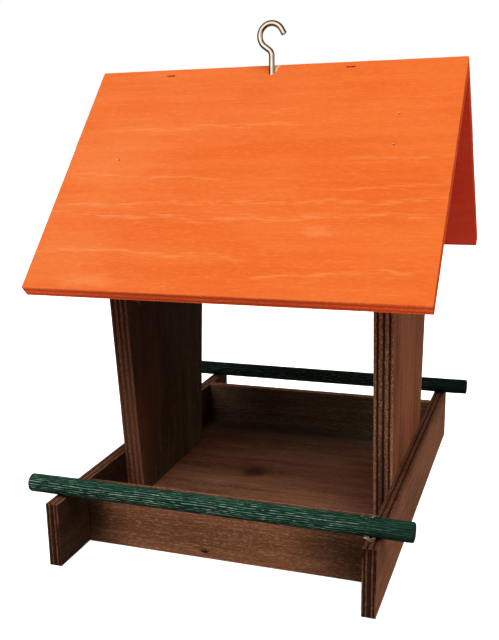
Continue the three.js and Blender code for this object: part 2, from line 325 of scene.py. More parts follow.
def make_board(node, turn, plies, material, slot, seed):
    """A sawn board on the CAD node's own outline, with its fasteners' pits."""
    low, high = local_box(node, turn)
    centre = (low + high) / 2
    points = [p - centre for p in local_points(node, turn)]
    outline = outline_points(corners_of(points))
    mesh = skin(node + "_wood", board_rings(outline, high.z - low.z, plies, seed))
    mesh = cut_pits(mesh, node, turn, centre)
    return place(node + "_wood", mesh, turn, centre, material, [node], slot)


# ---- nodes of a material


class Nodes:
    """A node tree. Each call adds a node and, apart from add(), returns what it puts out."""

    def __init__(self, tree):
        self.tree = tree
        self.tree.nodes.clear()

    def add(self, kind, inputs, **settings):
        made = self.tree.nodes.new("ShaderNode" + kind)
        for key, value in settings.items():
            setattr(made, key, value)
        for key, value in inputs.items():
            if isinstance(value, bpy.types.NodeSocket):
                self.tree.links.new(value, made.inputs[key])
            elif value is not None:
                made.inputs[key].default_value = value
        return made

    def math(self, operation, a, b=None, c=None):
        return self.add("Math", {0: a, 1: b, 2: c}, operation=operation).outputs[0]

    def vector(self, operation, a, b=None):
        made = self.add("VectorMath", {0: a, 1: b}, operation=operation)
        return made.outputs["Value" if operation in ("LENGTH", "DOT_PRODUCT") else "Vector"]

    def times(self, a, b):
        return self.math("MULTIPLY", a, b)

    def plus(self, a, b):
        return self.math("ADD", a, b)

    def minus(self, a, b):
        return self.math("SUBTRACT", a, b)

    def absolute(self, a):
        return self.math("ABSOLUTE", a)

    def scaled(self, a, factor, offset):
        return self.math("MULTIPLY_ADD", a, factor, offset)

    def split(self, vector):
        return self.add("SeparateXYZ", {0: vector}).outputs

    def combine(self, x, y, z):
        return self.add("CombineXYZ", {0: x, 1: y, 2: z}).outputs[0]

    def noise(self, point, lengths, detail=2, roughness=0.5, shift=0.0):
        """Noise whose features are `lengths` long in the point's X, Y and Z."""
        rates = tuple(1 / length for length in lengths)
        scaled = self.vector("MULTIPLY", point, rates)
        moved = self.vector("ADD", scaled, (shift, shift * 0.37, -shift * 0.61))
        inputs = {"Vector": moved, "Scale": 1.0, "Detail": detail, "Roughness": roughness}
        return self.add("TexNoise", inputs).outputs["Fac"]

    def ramp(self, value, low, high, to_low=0.0, to_high=1.0):
        inputs = {"Value": value, "From Min": low, "From Max": high, "To Min": to_low, "To Max": to_high}
        return self.add("MapRange", inputs, interpolation_type="SMOOTHSTEP").outputs["Result"]

    def clamp(self, value):
        return self.add("Clamp", {"Value": value}).outputs[0]

    def mix(self, factor, a, b, blend="MIX"):
        a = (*a, 1) if isinstance(a, tuple) else a
        b = (*b, 1) if isinstance(b, tuple) else b
        made = self.add("Mix", {0: factor, 6: a, 7: b}, data_type="RGBA", blend_type=blend)
        return made.outputs[2]


    def lay(self, colour, over, mask, amount, blend="MIX"):
        """Lay `over` on the colour where the mask is, by the amount."""
        return self.mix(self.times(mask, amount), colour, over, blend)


class Shader(Nodes):
    """A material's node tree."""

    def __init__(self, name):
        self.material = bpy.data.materials.new(name)
        self.material.use_nodes = True
        super().__init__(self.material.node_tree)

    def coordinate(self, kind):
        return self.add("TexCoord", {}).outputs[kind]

    def local(self):
        """The point in the piece's own axes, in millimetres."""
        return self.vector("MULTIPLY", self.coordinate("Object"), (1 / MM, 1 / MM, 1 / MM))

    def grain(self, local, seed):
        """The same point moved to the piece's own bit of wood."""
        return self.vector("ADD", local, (seed * 173.0, seed * 97.0, seed * 61.0))

    def finish(self, colour, roughness, height=None, depth=0.1 * MM, strength=0.5, **constants):
        surface = {"Base Color": colour, "Roughness": roughness}
        for name, value in constants.items():
            surface[name.replace("_", " ")] = value
        if height is not None:
            bump = self.add("Bump", {"Height": height, "Distance": depth, "Strength": strength})
            surface["Normal"] = bump.outputs[0]
        shader = self.add("BsdfPrincipled", surface)
        self.add("OutputMaterial", {0: shader.outputs[0]})
        return self.material


# ---- wood under stain

# Colours of a stain on the veneer, in linear RGB.
ORANGE = SimpleNamespace(
    slot="orange_stain",
    base=(0.715, 0.149, 0.031),
    dark=(0.655, 0.105, 0.015),
    pale=(0.79, 0.255, 0.085),
    end_grain=(0.80, 0.070, 0.016),
    long_edge=(0.95, 0.115, 0.030),
    glue=(0.62, 0.050, 0.012),
)
BROWN = SimpleNamespace(
    slot="brown_stain",
    base=(0.310, 0.113, 0.051),
    dark=(0.140, 0.049, 0.022),
    pale=(0.480, 0.245, 0.140),
    end_grain=(0.060, 0.020, 0.012),
    long_edge=(0.270, 0.113, 0.060),
    glue=(0.030, 0.010, 0.006),
)
RAW_WOOD = (0.80, 0.52, 0.26)
TORN_ORANGE = (0.86, 0.46, 0.26)
# The painted shade of a small hole.
HOLE_SHADE = (0.012, 0.006, 0.004)
PLY_BLUR = 0.09  # of a pair of plies
GLUE_LINE = 0.14 * MM


def blotches(s, grain):
    """Uneven uptake of the stain, from broad clouds to narrow bands along the grain."""
    clouds = s.noise(grain, (120, 34, 34), detail=3, shift=3.1)
    bands = s.noise(grain, (210, 9, 9), shift=7.7)
    return s.plus(s.times(clouds, 0.6), s.times(bands, 0.4))


def growth_rings(s, grain, spacing):
    """Wavy contour lines of peeled veneer: 1 on a line, falling away on one side of it."""
    across = s.split(grain)[1]
    sway = s.noise(grain, (150, 55, 55), shift=12.4)
    tremor = s.noise(grain, (34, 13, 13), detail=3, shift=5.2)
    level = s.plus(s.times(across, 1 / spacing), s.times(sway, 3.4))
    level = s.plus(level, s.times(tremor, 0.5))
    phase = s.math("FRACT", level)
    return s.ramp(phase, 0.55, 0.93), s.ramp(phase, 0.93, 1.0)


def fibres(s, grain, length):
    """Fibre streaks, hatch of about `length` and pores, each from 0 to 1."""
    streaks = s.noise(grain, (32, 1.7, 1.7), detail=3, roughness=0.6, shift=1.3)
    fine = s.noise(grain, (length, 0.9, 0.9), detail=1, roughness=0.6, shift=8.8)
    dashes = s.noise(grain, (0.7 * length, 0.8, 0.8), detail=1, shift=15.0)
    return streaks, fine, dashes


def ply_layers(s, local, normal, plies, thickness):
    """On a sawn edge: how much it shows end grain, and how near the point is to a glue line."""
    nx, ny = s.split(normal)[:2]
    across_grain = s.ramp(s.minus(s.absolute(nx), s.absolute(ny)), -0.2, 0.2)
    if not plies.cross_plies:
        return across_grain, None
    drift = s.noise(local, (40, 40, 400), detail=1)
    height = s.scaled(s.split(local)[2], MM / thickness, 0.5)
    height = s.plus(height, s.scaled(drift, 0.05, -0.025))
    tremble = s.noise(local, (5, 5, 400), shift=2.0)
    height = s.plus(height, s.scaled(tremble, 0.06, -0.03))
    stack = s.times(s.minus(height, plies.outer), 1 / plies.pitch)
    in_pair = s.math("FRACT", stack)
    cross_share = plies.cross / plies.pitch
    past_blur = cross_share + PLY_BLUR
    crossed = s.times(s.ramp(in_pair, 0.0, PLY_BLUR), s.ramp(in_pair, past_blur, cross_share))
    above_first = s.math("GREATER_THAN", stack, 0.0)
    inside = s.times(above_first, s.math("LESS_THAN", stack, plies.cross_plies))
    crossed = s.times(crossed, inside)
    line_width = GLUE_LINE / (thickness * plies.pitch)
    first = s.ramp(s.math("PINGPONG", stack, 0.5), line_width, 0.3 * line_width)
    second_stack = s.minus(stack, cross_share)
    second = s.ramp(s.math("PINGPONG", second_stack, 0.5), line_width, 0.3 * line_width)
    glue = s.times(s.math("MAXIMUM", first, second), inside)
    same = s.times(across_grain, s.minus(1.0, crossed))
    other = s.times(s.minus(1.0, across_grain), crossed)
    return s.plus(same, other), glue


def spot(s, local, centre, radii, softness=0.5, rough=0.35):
    """1 inside an ellipse round a point of the piece, in millimetres, with an uneven border."""
    away = s.vector("SUBTRACT", local, centre)
    scaled = s.vector("MULTIPLY", away, tuple(1 / r for r in radii))
    distance = s.vector("LENGTH", scaled)
    uneven = s.noise(local, tuple(0.45 * r for r in radii))
    distance = s.plus(distance, s.scaled(uneven, 2 * rough, -rough))
    return s.ramp(distance, 1.0, 1.0 - softness)


def growth_line(s, local, height, fall, sway, width, reach, seed):
    """A pale wavy line along the grain, `height` across the board, that fades in and out."""
    x, y = s.split(local)[:2]
    wave = s.noise(s.combine(x, seed, 0.0), (62, 1, 1))
    ripple = s.noise(s.combine(x, seed, 4.0), (9, 1, 1))
    line = s.scaled(x, fall, height)
    line = s.plus(line, s.scaled(wave, 3 * sway, -1.5 * sway))
    line = s.plus(line, s.scaled(ripple, 3.0, -1.5))
    near = s.ramp(s.absolute(s.minus(y, line)), 1.8 * width, 0.0)
    broken = s.ramp(s.noise(local, (15, 1.7, 1.7), shift=seed), 0.36, 0.66)
    start, end = reach
    kept = s.times(s.ramp(x, start - 15, start + 15), s.ramp(x, end + 15, end - 15))
    return s.times(s.times(near, broken), kept)


USUAL_FIGURE = dict(ring_spacing=17, rings=0.3, clouds=0.7, streaks=0.6, hatch=0.5, hatch_length=5.0)


def figure(**changes):
    """How strongly a board shows each scale of its grain, with lengths in millimetres."""
    return SimpleNamespace(**{**USUAL_FIGURE, **changes})


def face_colour(s, grain, stain, shown):
    """Veneer from broad clouds of stain down to the short hatch of its pores."""
    late, line = growth_rings(s, grain, shown.ring_spacing)
    streaks, fine, dashes = fibres(s, grain, shown.hatch_length)
    face = s.mix(s.ramp(blotches(s, grain), 0.34, 0.66, 1 - shown.clouds, 1.0), stain.dark, stain.base)
    face = s.lay(face, stain.dark, late, 0.5 * shown.rings)
    tone = s.scaled(streaks, 2.4 * shown.streaks, -1.2 * shown.streaks)
    tone = s.plus(tone, s.scaled(fine, 3.0 * shown.hatch, -1.5 * shown.hatch))
    tone = s.plus(tone, s.scaled(dashes, 2.0 * shown.hatch, -1.0 * shown.hatch))
    face = s.mix(s.clamp(tone), face, stain.pale)
    face = s.mix(s.clamp(s.times(tone, -1.0)), face, stain.dark)
    return s.lay(face, stain.pale, line, shown.rings), streaks, fine, dashes


def toned(colour, tone):
    return tuple(tone * channel for channel in colour)


def edge_colour(s, grain, stain, tones, end_grain, glue, streaks):
    """Sawn plies: speckled where they run along the edge, dark and open where they end in it.

    `tones` are how bright the long and the end-grain plies are."""
    long_tone, end_tone = tones
    speckle = s.noise(grain, (1.9, 1.9, 0.8), detail=3, roughness=0.75)
    open_colour = toned(stain.end_grain, end_tone)
    long_colour = toned(stain.long_edge, long_tone)
    dark_colour = toned(stain.dark, long_tone)
    open_grain = s.mix(s.ramp(speckle, 0.52, 0.76, 0.0, 0.6), open_colour, long_colour)
    sawn = s.mix(s.ramp(speckle, 0.52, 0.66), long_colour, toned(stain.pale, 1.3 * long_tone))
    sawn = s.lay(sawn, dark_colour, s.ramp(speckle, 0.48, 0.38), 0.85)
    sawn = s.lay(sawn, dark_colour, s.ramp(streaks, 0.45, 0.25), 0.6)
    edge = s.mix(end_grain, sawn, open_grain)
    if glue is not None:
        edge = s.lay(edge, toned(stain.glue, end_tone), glue, 0.6)
    return edge, speckle


def paint(mask, colour, amount):
    """A patch of a piece's surface: where it is, its colour and how strongly it is laid on."""
    return mask, colour, amount, "MIX"


def tint(mask, colour, amount=1.0):
    """The same, with a colour that multiplies the one under it."""
    return mask, colour, amount, "MULTIPLY"


def paint_spots(s, local, rows):
    """Patches of paint, each from its centre, radii, softness, unevenness, colour and amount."""
    return [paint(spot(s, local, *place), colour, amount) for *place, colour, amount in rows]


def wood(name, stain, plies, thickness, seed, shown=None, tints=None, edge_tones=(1, 1), marks=None):
    """Stained plywood: veneer figure on its faces, sawn plies on its edges, and marks of its own.

    `tints` has what multiplies the colour of the faces that look along +Z (1) and -Z (-1)."""
    s = Shader(name)
    local = s.local()
    grain = s.grain(local, seed)
    normal = s.coordinate("Normal")
    nz = s.split(normal)[2]
    facing = s.absolute(nz)
    on_face = s.ramp(facing, 0.55, 0.80)

    face, streaks, fine, dashes = face_colour(s, grain, stain, shown or figure())
    end_grain, glue = ply_layers(s, local, normal, plies, thickness)
    edge, speckle = edge_colour(s, grain, stain, edge_tones, end_grain, glue, streaks)
    colour = s.mix(on_face, edge, face)
    for side, shade in (tints or {}).items():
        tinted = s.ramp(s.times(nz, side), 0.55, 0.80)
        colour = s.mix(tinted, colour, shade, "MULTIPLY")

    # Pale wear on the rounded arrises.
    arris = s.times(s.ramp(facing, 0.30, 0.60), s.ramp(facing, 0.97, 0.80))
    pale_share = s.times(arris, s.ramp(s.noise(grain, (14, 14, 14), detail=3), 0.40, 0.62))
    colour = s.lay(colour, stain.pale, pale_share, 0.5)
    for mask, over, amount, blend in marks(s, local) if marks else []:
        colour = s.lay(colour, over, mask, amount, blend)

    roughness = s.scaled(fine, 0.20, 0.62)
    roughness = s.scaled(end_grain, 0.12, roughness)
    height = s.scaled(streaks, 0.6, s.times(fine, 0.7))
    height = s.plus(height, s.times(s.ramp(dashes, 0.34, 0.22), -0.6))
    height = s.plus(height, s.times(s.times(speckle, end_grain), 0.9))
    return s.finish(colour, roughness, height, 0.16 * MM, 0.55, Specular_IOR_Level=0.03)


# ---- perch, wire and steel

ROD_LINES = 27  # grain lines round the rod
ROD_WANDER = 12  # how far they stray, in radians of their sine
ROD_STAIN = ((0.005, 0.031, 0.018), (0.009, 0.048, 0.026))
ROD_HOLLOW = (0.002, 0.007, 0.005)
ROD_FURROW = (0.002, 0.008, 0.006)
ROD_CREST = (0.120, 0.210, 0.145)
ROD_FLECK = (0.330, 0.440, 0.330)
ROD_UNDERSIDE_SHADE = (0.003, 0.009, 0.007)
ROD_SHADED_END = (0.003, 0.012, 0.008)
ROD_END_GRAIN = (0.006, 0.022, 0.020)


def green_rod(name, tone):
    """Rough open grain under dark green stain: pale crests, dark furrows."""
    s = Shader(name)
    local = s.local()
    grain = s.grain(local, 2.0)
    normal = s.split(s.coordinate("Normal"))
    relief = s.add("Attribute", {}, attribute_name="relief").outputs["Fac"]
    broken = s.noise(grain, (8, 1.0, 1.0), roughness=0.6)
    fine = s.noise(grain, (5, 0.9, 0.9), detail=1, roughness=0.6, shift=4.0)
    cloud = s.noise(grain, (50, 8, 8), shift=9.0)
    x, y, z = s.split(local)
    round_rod = s.times(s.math("ARCTAN2", z, y), ROD_LINES)
    wander = s.noise(grain, (30, 4, 4), shift=2.0)
    lines = s.math("SINE", s.plus(round_rod, s.times(wander, ROD_WANDER)))
    nz = normal[2]
    # How much the pale crests and flecks show: stain worn off the ridges, with painted highlight; less on
    # the top and toward the right end, which is painted as in shade.
    pale_share = s.times(s.ramp(x, 140, 60, 0.3, 1.0), s.ramp(nz, 0.95, 0.45, 0.35, 1.0))
    end = s.ramp(s.absolute(normal[0]), 0.5, 0.8)
    colour = s.mix(s.ramp(cloud, 0.35, 0.65), *ROD_STAIN)
    colour = s.mix(s.ramp(relief, 0.50, 0.15, 0.0, 0.7), colour, ROD_HOLLOW)
    furrow = s.times(s.ramp(lines, 0.2, -0.6), s.ramp(fine, 0.68, 0.44))
    colour = s.lay(colour, ROD_FURROW, furrow, 0.85)
    crest = s.times(s.ramp(lines, 0.1, 0.9), s.ramp(broken, 0.42, 0.60))
    colour = s.lay(colour, ROD_CREST, crest, pale_share)
    fleck = s.times(s.ramp(lines, 0.5, 1.0), s.ramp(fine, 0.52, 0.66))
    colour = s.lay(colour, ROD_FLECK, fleck, pale_share)
    # Painted shade on the underside of the rod.
    colour = s.mix(s.ramp(nz, -0.15, -0.65, 0.0, 0.85), colour, ROD_UNDERSIDE_SHADE)
    colour = s.mix(s.ramp(x, 60, 180, 0.0, 0.4), colour, ROD_SHADED_END)
    colour = s.mix(end, colour, ROD_END_GRAIN)
    # A tone below 1 darkens the whole rod: painted shade.
    if tone != 1.0:
        colour = s.mix(1.0, colour, (tone, tone, tone), "MULTIPLY")
    height = s.scaled(fine, 0.8, s.times(lines, 0.3))
    roughness = s.scaled(fine, 0.25, 0.52)
    return s.finish(colour, roughness, height, 0.25 * MM, 0.7, Specular_IOR_Level=0.12)


def plated_wire():
    """Bright yellow-plated wire, a little cloudy, with small dull spots."""
    s = Shader("plated_wire")
    local = s.local()
    cloud = s.noise(local, (4, 4, 4), detail=3)
    spots = s.noise(local, (0.6, 0.6, 0.6), shift=6.0)
    colour = s.mix(s.ramp(cloud, 0.35, 0.65), (0.84, 0.69, 0.52), (0.94, 0.82, 0.68))
    colour = s.lay(colour, (0.30, 0.20, 0.10), s.ramp(spots, 0.64, 0.74), 0.5)
    roughness = s.ramp(cloud, 0.3, 0.7, 0.07, 0.14)
    return s.finish(colour, roughness, spots, 0.02 * MM, 0.2, Metallic=1.0)


def steel():
    """Plain steel staple and brad wire, a little dull and spotted."""
    s = Shader("steel_fastener")
    local = s.local()
    cloud = s.noise(local, (1.4, 1.4, 1.4), detail=3)
    colour = s.mix(s.ramp(cloud, 0.38, 0.66), (0.060, 0.030, 0.020), (0.20, 0.14, 0.10))
    roughness = s.ramp(cloud, 0.3, 0.7, 0.28, 0.5)
    return s.finish(colour, roughness, cloud, 0.04 * MM, 0.3, Metallic=1.0)


def raw_splinter():
    """Torn wood that the stain never reached."""
    s = Shader("raw_splinter")
    local = s.local()
    fine = s.noise(local, (3.0, 0.3, 0.3))
    colour = s.mix(s.ramp(fine, 0.35, 0.7), (0.70, 0.46, 0.22), (1.0, 0.86, 0.56))
    return s.finish(colour, s.scaled(fine, 0.2, 0.6), fine, 0.05 * MM, 0.4)


# ---- staples, brads and their pits

PIT_GAP = 0.12 * MM
PIT_DEPTH = 0.55 * MM
PIT_MOUTH = 1.0 * MM
PIT_LIP = 0.12 * MM
BRAD_MARK = (1.6 * MM, 0.9 * MM)  # the wood has closed over most of a brad's head
SINK = 0.5 * MM  # how far the CAD drives heads and crowns below the wood
CLOSED_OVER = ("roof_brad_front_left_1",)  # heads that the wood and stain have hidden


def rounded_section(width, depth, corner):
    """Points round a rectangle with rounded corners."""
    points = []
    for sx, sy, start in ((1, 1, 0), (-1, 1, 90), (-1, -1, 180), (1, -1, 270)):
        for k in range(4):
            turn = radians(start + 30 * k)
            x = sx * (width / 2 - corner) + corner * cos(turn)
            y = sy * (depth / 2 - corner) + corner * sin(turn)
            points.append((x, y))
    return points


def pit_cutter(turn, centre, width, depth, seed):
    """A torn hole over a fastener whose top's middle is `centre`, in the shared frame."""
    chance = random.Random(seed)
    section = rounded_section(width, depth, min(width, depth) * 0.45)
    surface = centre.z + SINK
    levels = (
        # height, how much wider
        (centre.z - PIT_DEPTH, 0.0),
        (surface - PIT_LIP, 0.05 * MM),
        (surface + PIT_MOUTH, 0.5 * MM),
    )
    rings = []
    for z, grow in levels:
        ring = []
        for x, y in section:
            push = 1 + chance.uniform(-0.06, 0.08) + grow / max(width, depth)
            ring.append(Vector((centre.x + x * push, centre.y + y * push, z)))
        rings.append(ring)
    mesh = skin("pit", rings, flat_ends=False)
    mesh.transform(turn.to_4x4())
    return mesh


def sweep(path, radius_at, sides):
    """Rings of points along a path that lies in the XZ plane."""
    rings = []
    for i, point in enumerate(path):
        before = path[max(0, i - 1)]
        after = path[min(len(path) - 1, i + 1)]
        along = (after - before).normalized()
        up = along.cross(BACK).normalized()
        ring = []
        for k in range(sides):
            turn = 2 * pi * k / sides
            radius = radius_at(i, turn)
            ring.append(point + up * (radius * cos(turn)) + BACK * (radius * sin(turn)))
        rings.append(ring)
    return rings


def staple_rings(width, length, wire):
    """Squarish wire bent into a staple with rounded shoulders. Its crown's top is at Z = 0."""
    half = width / 2 - wire / 2
    bend = 0.55 * wire
    path = [Vector((-half, 0, -length)), Vector((-half, 0, -length + wire))]
    for side, angles in ((-1, (180, 150, 120, 90)), (1, (90, 60, 30, 0))):
        middle = Vector((side * (half - bend), 0, -wire / 2 - bend))
        for angle in angles:
            turn = radians(angle)
            path.append(middle + Vector((bend * cos(turn), 0, bend * sin(turn))))
    path += [Vector((half, 0, -length + wire)), Vector((half, 0, -length))]
    last = len(path) - 1

    def radius_at(i, turn):
        square = 1 / max(abs(cos(turn)), abs(sin(turn)), 0.8)
        return wire / 2 * square * 0.82 * (0.35 if i in (0, last) else 1.0)

    return sweep(path, radius_at, 16)


BRAD_SIDES = 20


def brad_rings(head, length, wire):
    """A round brad: domed head, shank and tapered point. Its head's top is at Z = 0."""
    profile = [(0.30, 0.0), (0.62, -0.04), (0.88, -0.16), (1.0, -0.36), (1.0, -0.62), (0.80, -0.86)]
    turns = [2 * pi * k / BRAD_SIDES for k in range(BRAD_SIDES)]

    def ring(radius, z):
        return [Vector((radius * cos(t), radius * sin(t), z)) for t in turns]

    rings = [ring(0.12 * wire, -length), ring(wire / 2, -length + 1.6 * wire)]
    rings += [ring(wire / 2, -wire * 1.02), ring(wire / 2, -wire)]
    return rings + [ring(head / 2 * share, wire * drop) for share, drop in reversed(profile)]


def drive(node, out, along, host, material, seed):
    """Put a staple or brad where the CAD has it, and leave its pit to be cut in the host."""
    turn = axes(along, out)
    low, high = local_box(node, turn)
    centre = Vector(((low.x + high.x) / 2, (low.y + high.y) / 2, high.z))
    width, wire, length = high - low
    if "staple" in node:
        rings = staple_rings(width, length, wire)
        pit_size = (width + 2 * PIT_GAP, wire + 2 * PIT_GAP)
    else:
        rings = brad_rings(width, length, wire)
        pit_size = BRAD_MARK
    mesh = skin(node + "_wire", rings)
    if node not in CLOSED_OVER:
        PITS.setdefault(host, []).append(pit_cutter(turn, centre, *pit_size, seed))
    return place(node + "_wire", mesh, turn, centre, material, [node], "steel_fastener")


def drive_all(material):
    """Every staple and brad, with the side it is driven from and the piece it goes into first."""
    seed = 0
    for node in sorted(frame["nodes"]):
        if "staple" not in node and "brad" not in node:
            continue
        seed += 1
        side, side_name = (-1, "left") if "left" in node else (1, "right")
        end, end_name = (-1, "front") if "front" in node else (1, "back")
        placings = (
            # start of the node's name, way out, way along, host
            ("ridge_staple", FRONT_SLOPE_OUT, RIGHT, "roof_front_panel"),
            ("roof_brad_front", FRONT_SLOPE_OUT, RIGHT, "roof_front_panel"),
            ("roof_brad_back", BACK_SLOPE_OUT, RIGHT, "roof_back_panel"),
            ("batten_brad", RIGHT * side, UP, side_name + "_upright"),
            ("perch_staple", UP, RIGHT, end_name + "_perch"),
            (end_name + "_board_staple", BACK * end, RIGHT, end_name + "_board"),
            ("", RIGHT * side, UP, side_name + "_rail"),
        )
        out, along, host = next(rest for start, *rest in placings if node.startswith(start))
        drive(node, out, along, host, material, seed)


# ---- perches

PERCH_SIDES = 192
PERCH_STEP = 1.5 * MM
FURROW_DEPTH = 0.45 * MM
FURROW_LENGTH = 9 * MM
FURROWS_ROUND = 13.0
FURROW_TREMBLE = 0.18  # share of a second, finer noise
ROD_WAVE = 0.18 * MM
ROD_WAVE_LENGTH = 70 * MM
PERCH_CHAMFER = 1.6 * MM


def make_perch(node, material, seed):
    """A rod whose grain has opened into furrows along it, with rounded ends."""
    turn = axes(RIGHT, UP)
    low, high = local_box(node, turn)
    centre = (low + high) / 2
    half = (high.x - low.x) / 2
    radius = (high.z - low.z) / 2
    straight = half - PERCH_CHAMFER
    steps = round(2 * half / PERCH_STEP)
    relief = []

    def ring(x, shrink, depth_share):
        points = []
        for k in range(PERCH_SIDES):
            angle = 2 * pi * k / PERCH_SIDES
            on_round = Vector((cos(angle), sin(angle), 0)) * FURROWS_ROUND
            at = Vector((x / FURROW_LENGTH + seed, on_round.x, on_round.y))
            height = 0.5 + 0.5 * noise.noise(at) + FURROW_TREMBLE * noise.noise(at * 2.3)
            height = min(1.0, max(0.0, height))
            wave = ROD_WAVE * noise.noise(Vector((x / ROD_WAVE_LENGTH, on_round.x / 12, seed)))
            reach = radius - shrink - depth_share * (FURROW_DEPTH * (1 - height) + abs(wave))
            points.append(Vector((x, reach * cos(angle), reach * sin(angle))))
            relief.append(height)
        return points

    def end_stations(sign):
        bends = [radians(degrees) for degrees in (90, 65, 40, 20)]
        drops = [(PERCH_CHAMFER * (1 - sin(b)), PERCH_CHAMFER * (1 - cos(b))) for b in bends]
        return [(sign * (half - drop), shrink, 0.8) for drop, shrink in drops]

    stations = end_stations(-1)
    stations += [(-straight + 2 * straight * k / steps, 0.0, 1.0) for k in range(steps + 1)]
    stations += reversed(end_stations(1))
    rings = [ring(*station) for station in stations]
    mesh = skin(node + "_rod", rings)
    attribute = mesh.attributes.new("relief", "FLOAT", "POINT")
    attribute.data.foreach_set("value", relief)
    mesh = cut_pits(mesh, node, turn, centre)
    return place(node + "_rod", mesh, turn, centre, material, [node], "green_stain")


# ---- screw hook

LOOP_RADIUS = 9.5 * MM
LOOP_HEIGHT = 21.5 * MM
LOOP_EXIT_ANGLE = radians(29)
LOOP_TIP_LENGTH = 4.5 * MM
NECK_RADIUS = 5.5 * MM
NECK_ANGLE = radians(54)  # the loop runs this far past its half turn into the neck
THREAD_START = 6.5 * MM  # below the ridge
THREAD_PITCH = 2.2 * MM
THREAD_ROOT_SHARE = 0.71
POINT_LENGTH = 4 * MM
HOOK_SIDES = 28
PLAIN_POINTS = 100  # the first ones of the wire's centre line, which have no thread
TIP_ROUNDING = 0.80
HOOK_FOOT = Vector(frame["joints"][0]["pos_m"])  # where the shank's axis meets the ridge
HOLE_SIDES = 24
HOLE_RINGS = (
    # height from the ridge, radius
    (-20 * MM, 2.6 * MM),
    (-5.2 * MM, 2.6 * MM),
    (-4.0 * MM, 2.9 * MM),
    (3 * MM, 3.3 * MM),
)


def arc_points(centre, radius, start, end, steps):
    turns = [start + (end - start) * k / steps for k in range(steps + 1)]
    return [centre + Vector((radius * cos(t), 0, radius * sin(t))) for t in turns]


def hook_path(bottom):
    """The wire's centre line from its tip over the loop and down the shank, which is on Z."""
    loop_centre = Vector((0, 0, LOOP_HEIGHT))
    loop = arc_points(loop_centre, LOOP_RADIUS, LOOP_EXIT_ANGLE, pi + NECK_ANGLE, 60)
    tip_way = Vector((sin(LOOP_EXIT_ANGLE), 0, -cos(LOOP_EXIT_ANGLE)))
    tip = [loop[0] + tip_way * (LOOP_TIP_LENGTH * k / 8) for k in range(8, 0, -1)]
    bend_x = -NECK_RADIUS * (1 - cos(NECK_ANGLE))
    bend_z = loop[-1].z - (bend_x - loop[-1].x) / tan(NECK_ANGLE)
    bend_centre = Vector((-NECK_RADIUS, 0, bend_z - NECK_RADIUS * sin(NECK_ANGLE)))
    bend = arc_points(bend_centre, NECK_RADIUS, NECK_ANGLE, 0, 16)
    shank = [Vector((0, 0, bend[-1].z - 1.0 * MM))]
    step = THREAD_PITCH / 12
    z = -THREAD_START + 2 * step
    while z > bottom + 0.05 * MM:
        shank.append(Vector((0, 0, z)))
        z -= step
    shank.append(Vector((0, 0, bottom)))
    return tip + loop + bend + shank


def make_hook(material):
    low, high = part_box("screw_hook")
    wire = (high.y - low.y) / 2
    bottom = low.z - HOOK_FOOT.z
    path = hook_path(bottom)

    def radius_at(i, turn):
        z = path[i].z
        if i > PLAIN_POINTS and z < -THREAD_START:
            fade = min(1.0, (-THREAD_START - z) / THREAD_PITCH)
            phase = (z / THREAD_PITCH + turn / (2 * pi)) % 1.0
            crest = max(0.0, 1 - abs(phase - 0.5) / 0.27)
            share = 1 - fade * (1 - THREAD_ROOT_SHARE) * (1 - crest)
            share *= min(1.0, 0.04 + (z - bottom) / POINT_LENGTH)
            return wire * share
        return wire * (TIP_ROUNDING if i == 0 else 1.0)

    name = "screw_hook_wire"
    mesh = skin(name, sweep(path, radius_at, HOOK_SIDES))
    nodes = ["screw_hook"]
    return place(name, mesh, Matrix.Identity(3), HOOK_FOOT, material, nodes, "plated_wire", HOOK_BODY)


def hook_hole():
    """The mouth of the hook's hole in the front roof board, a little torn."""
    chance = random.Random(5)
    rings = []
    for z, radius in HOLE_RINGS:
        ring = []
        for k in range(HOLE_SIDES):
            turn = 2 * pi * k / HOLE_SIDES
            reach = radius * (1 + chance.uniform(-0.05, 0.08))
            ring.append(HOOK_FOOT + Vector((reach * cos(turn), reach * sin(turn), z)))
        rings.append(ring)
    PITS.setdefault("roof_front_panel", []).append(skin("hole", rings, flat_ends=False))


# ---- splinters

SPLINTER_WIDTH = 0.30 * MM
SPLINTER_POINT = 0.03 * MM
SPLINTER_SPREAD = 0.9  # millimetres


def sliver(chance, root, way, out, length):
    """Rings of a thin torn splinter that starts in the wood at `root` and curls away."""
    side = way.cross(out).normalized()
    rings = []
    curl = chance.uniform(0.1, 0.5)
    lean = chance.uniform(-0.35, 0.35)
    for k in range(6):
        t = k / 5
        middle = root + way * (length * t) + out * (length * curl * t * t) + side * (length * lean * t)
        size = SPLINTER_WIDTH * (1 - t) ** 0.7 + SPLINTER_POINT
        corners = ((1, 0.35), (-1, 0.35), (-1, -0.35), (1, -0.35))
        rings.append([middle + side * (size * a / 2) + out * (size * b / 2) for a, b in corners])
    return rings


def make_splinters(name, sites, material, slot=None):
    """Splinters as one piece. A site is its place, its run, the way out, how many and how long."""
    chance = random.Random(len(name))
    vertices, faces, smooth = [], [], []
    for root, way, out, count, length in sites:
        for _ in range(count):
            spread = Vector([chance.uniform(-1, 1) for _ in range(3)]) * SPLINTER_SPREAD * MM
            heading = (way + out * chance.uniform(-0.1, 0.5) + spread * 300).normalized()
            rings = sliver(chance, root + spread, heading, out, length * chance.uniform(0.6, 1.1))
            new_vertices, new_faces, new_smooth = join_rings(rings)
            base = len(vertices)
            vertices += new_vertices
            faces += [tuple(base + i for i in face) for face in new_faces]
            smooth += new_smooth
    mesh = mesh_from(name, vertices, faces, smooth)
    return place(name, mesh, Matrix.Identity(3), Vector((0, 0, 0)), material, [], slot)


# ---- the feeder

FRONT_SLOPE = axes(RIGHT, FRONT_SLOPE_OUT)
BACK_SLOPE = axes(RIGHT, BACK_SLOPE_OUT)
FACING_RIGHT = axes(UP, RIGHT)
FACING_LEFT = axes(UP, -RIGHT)


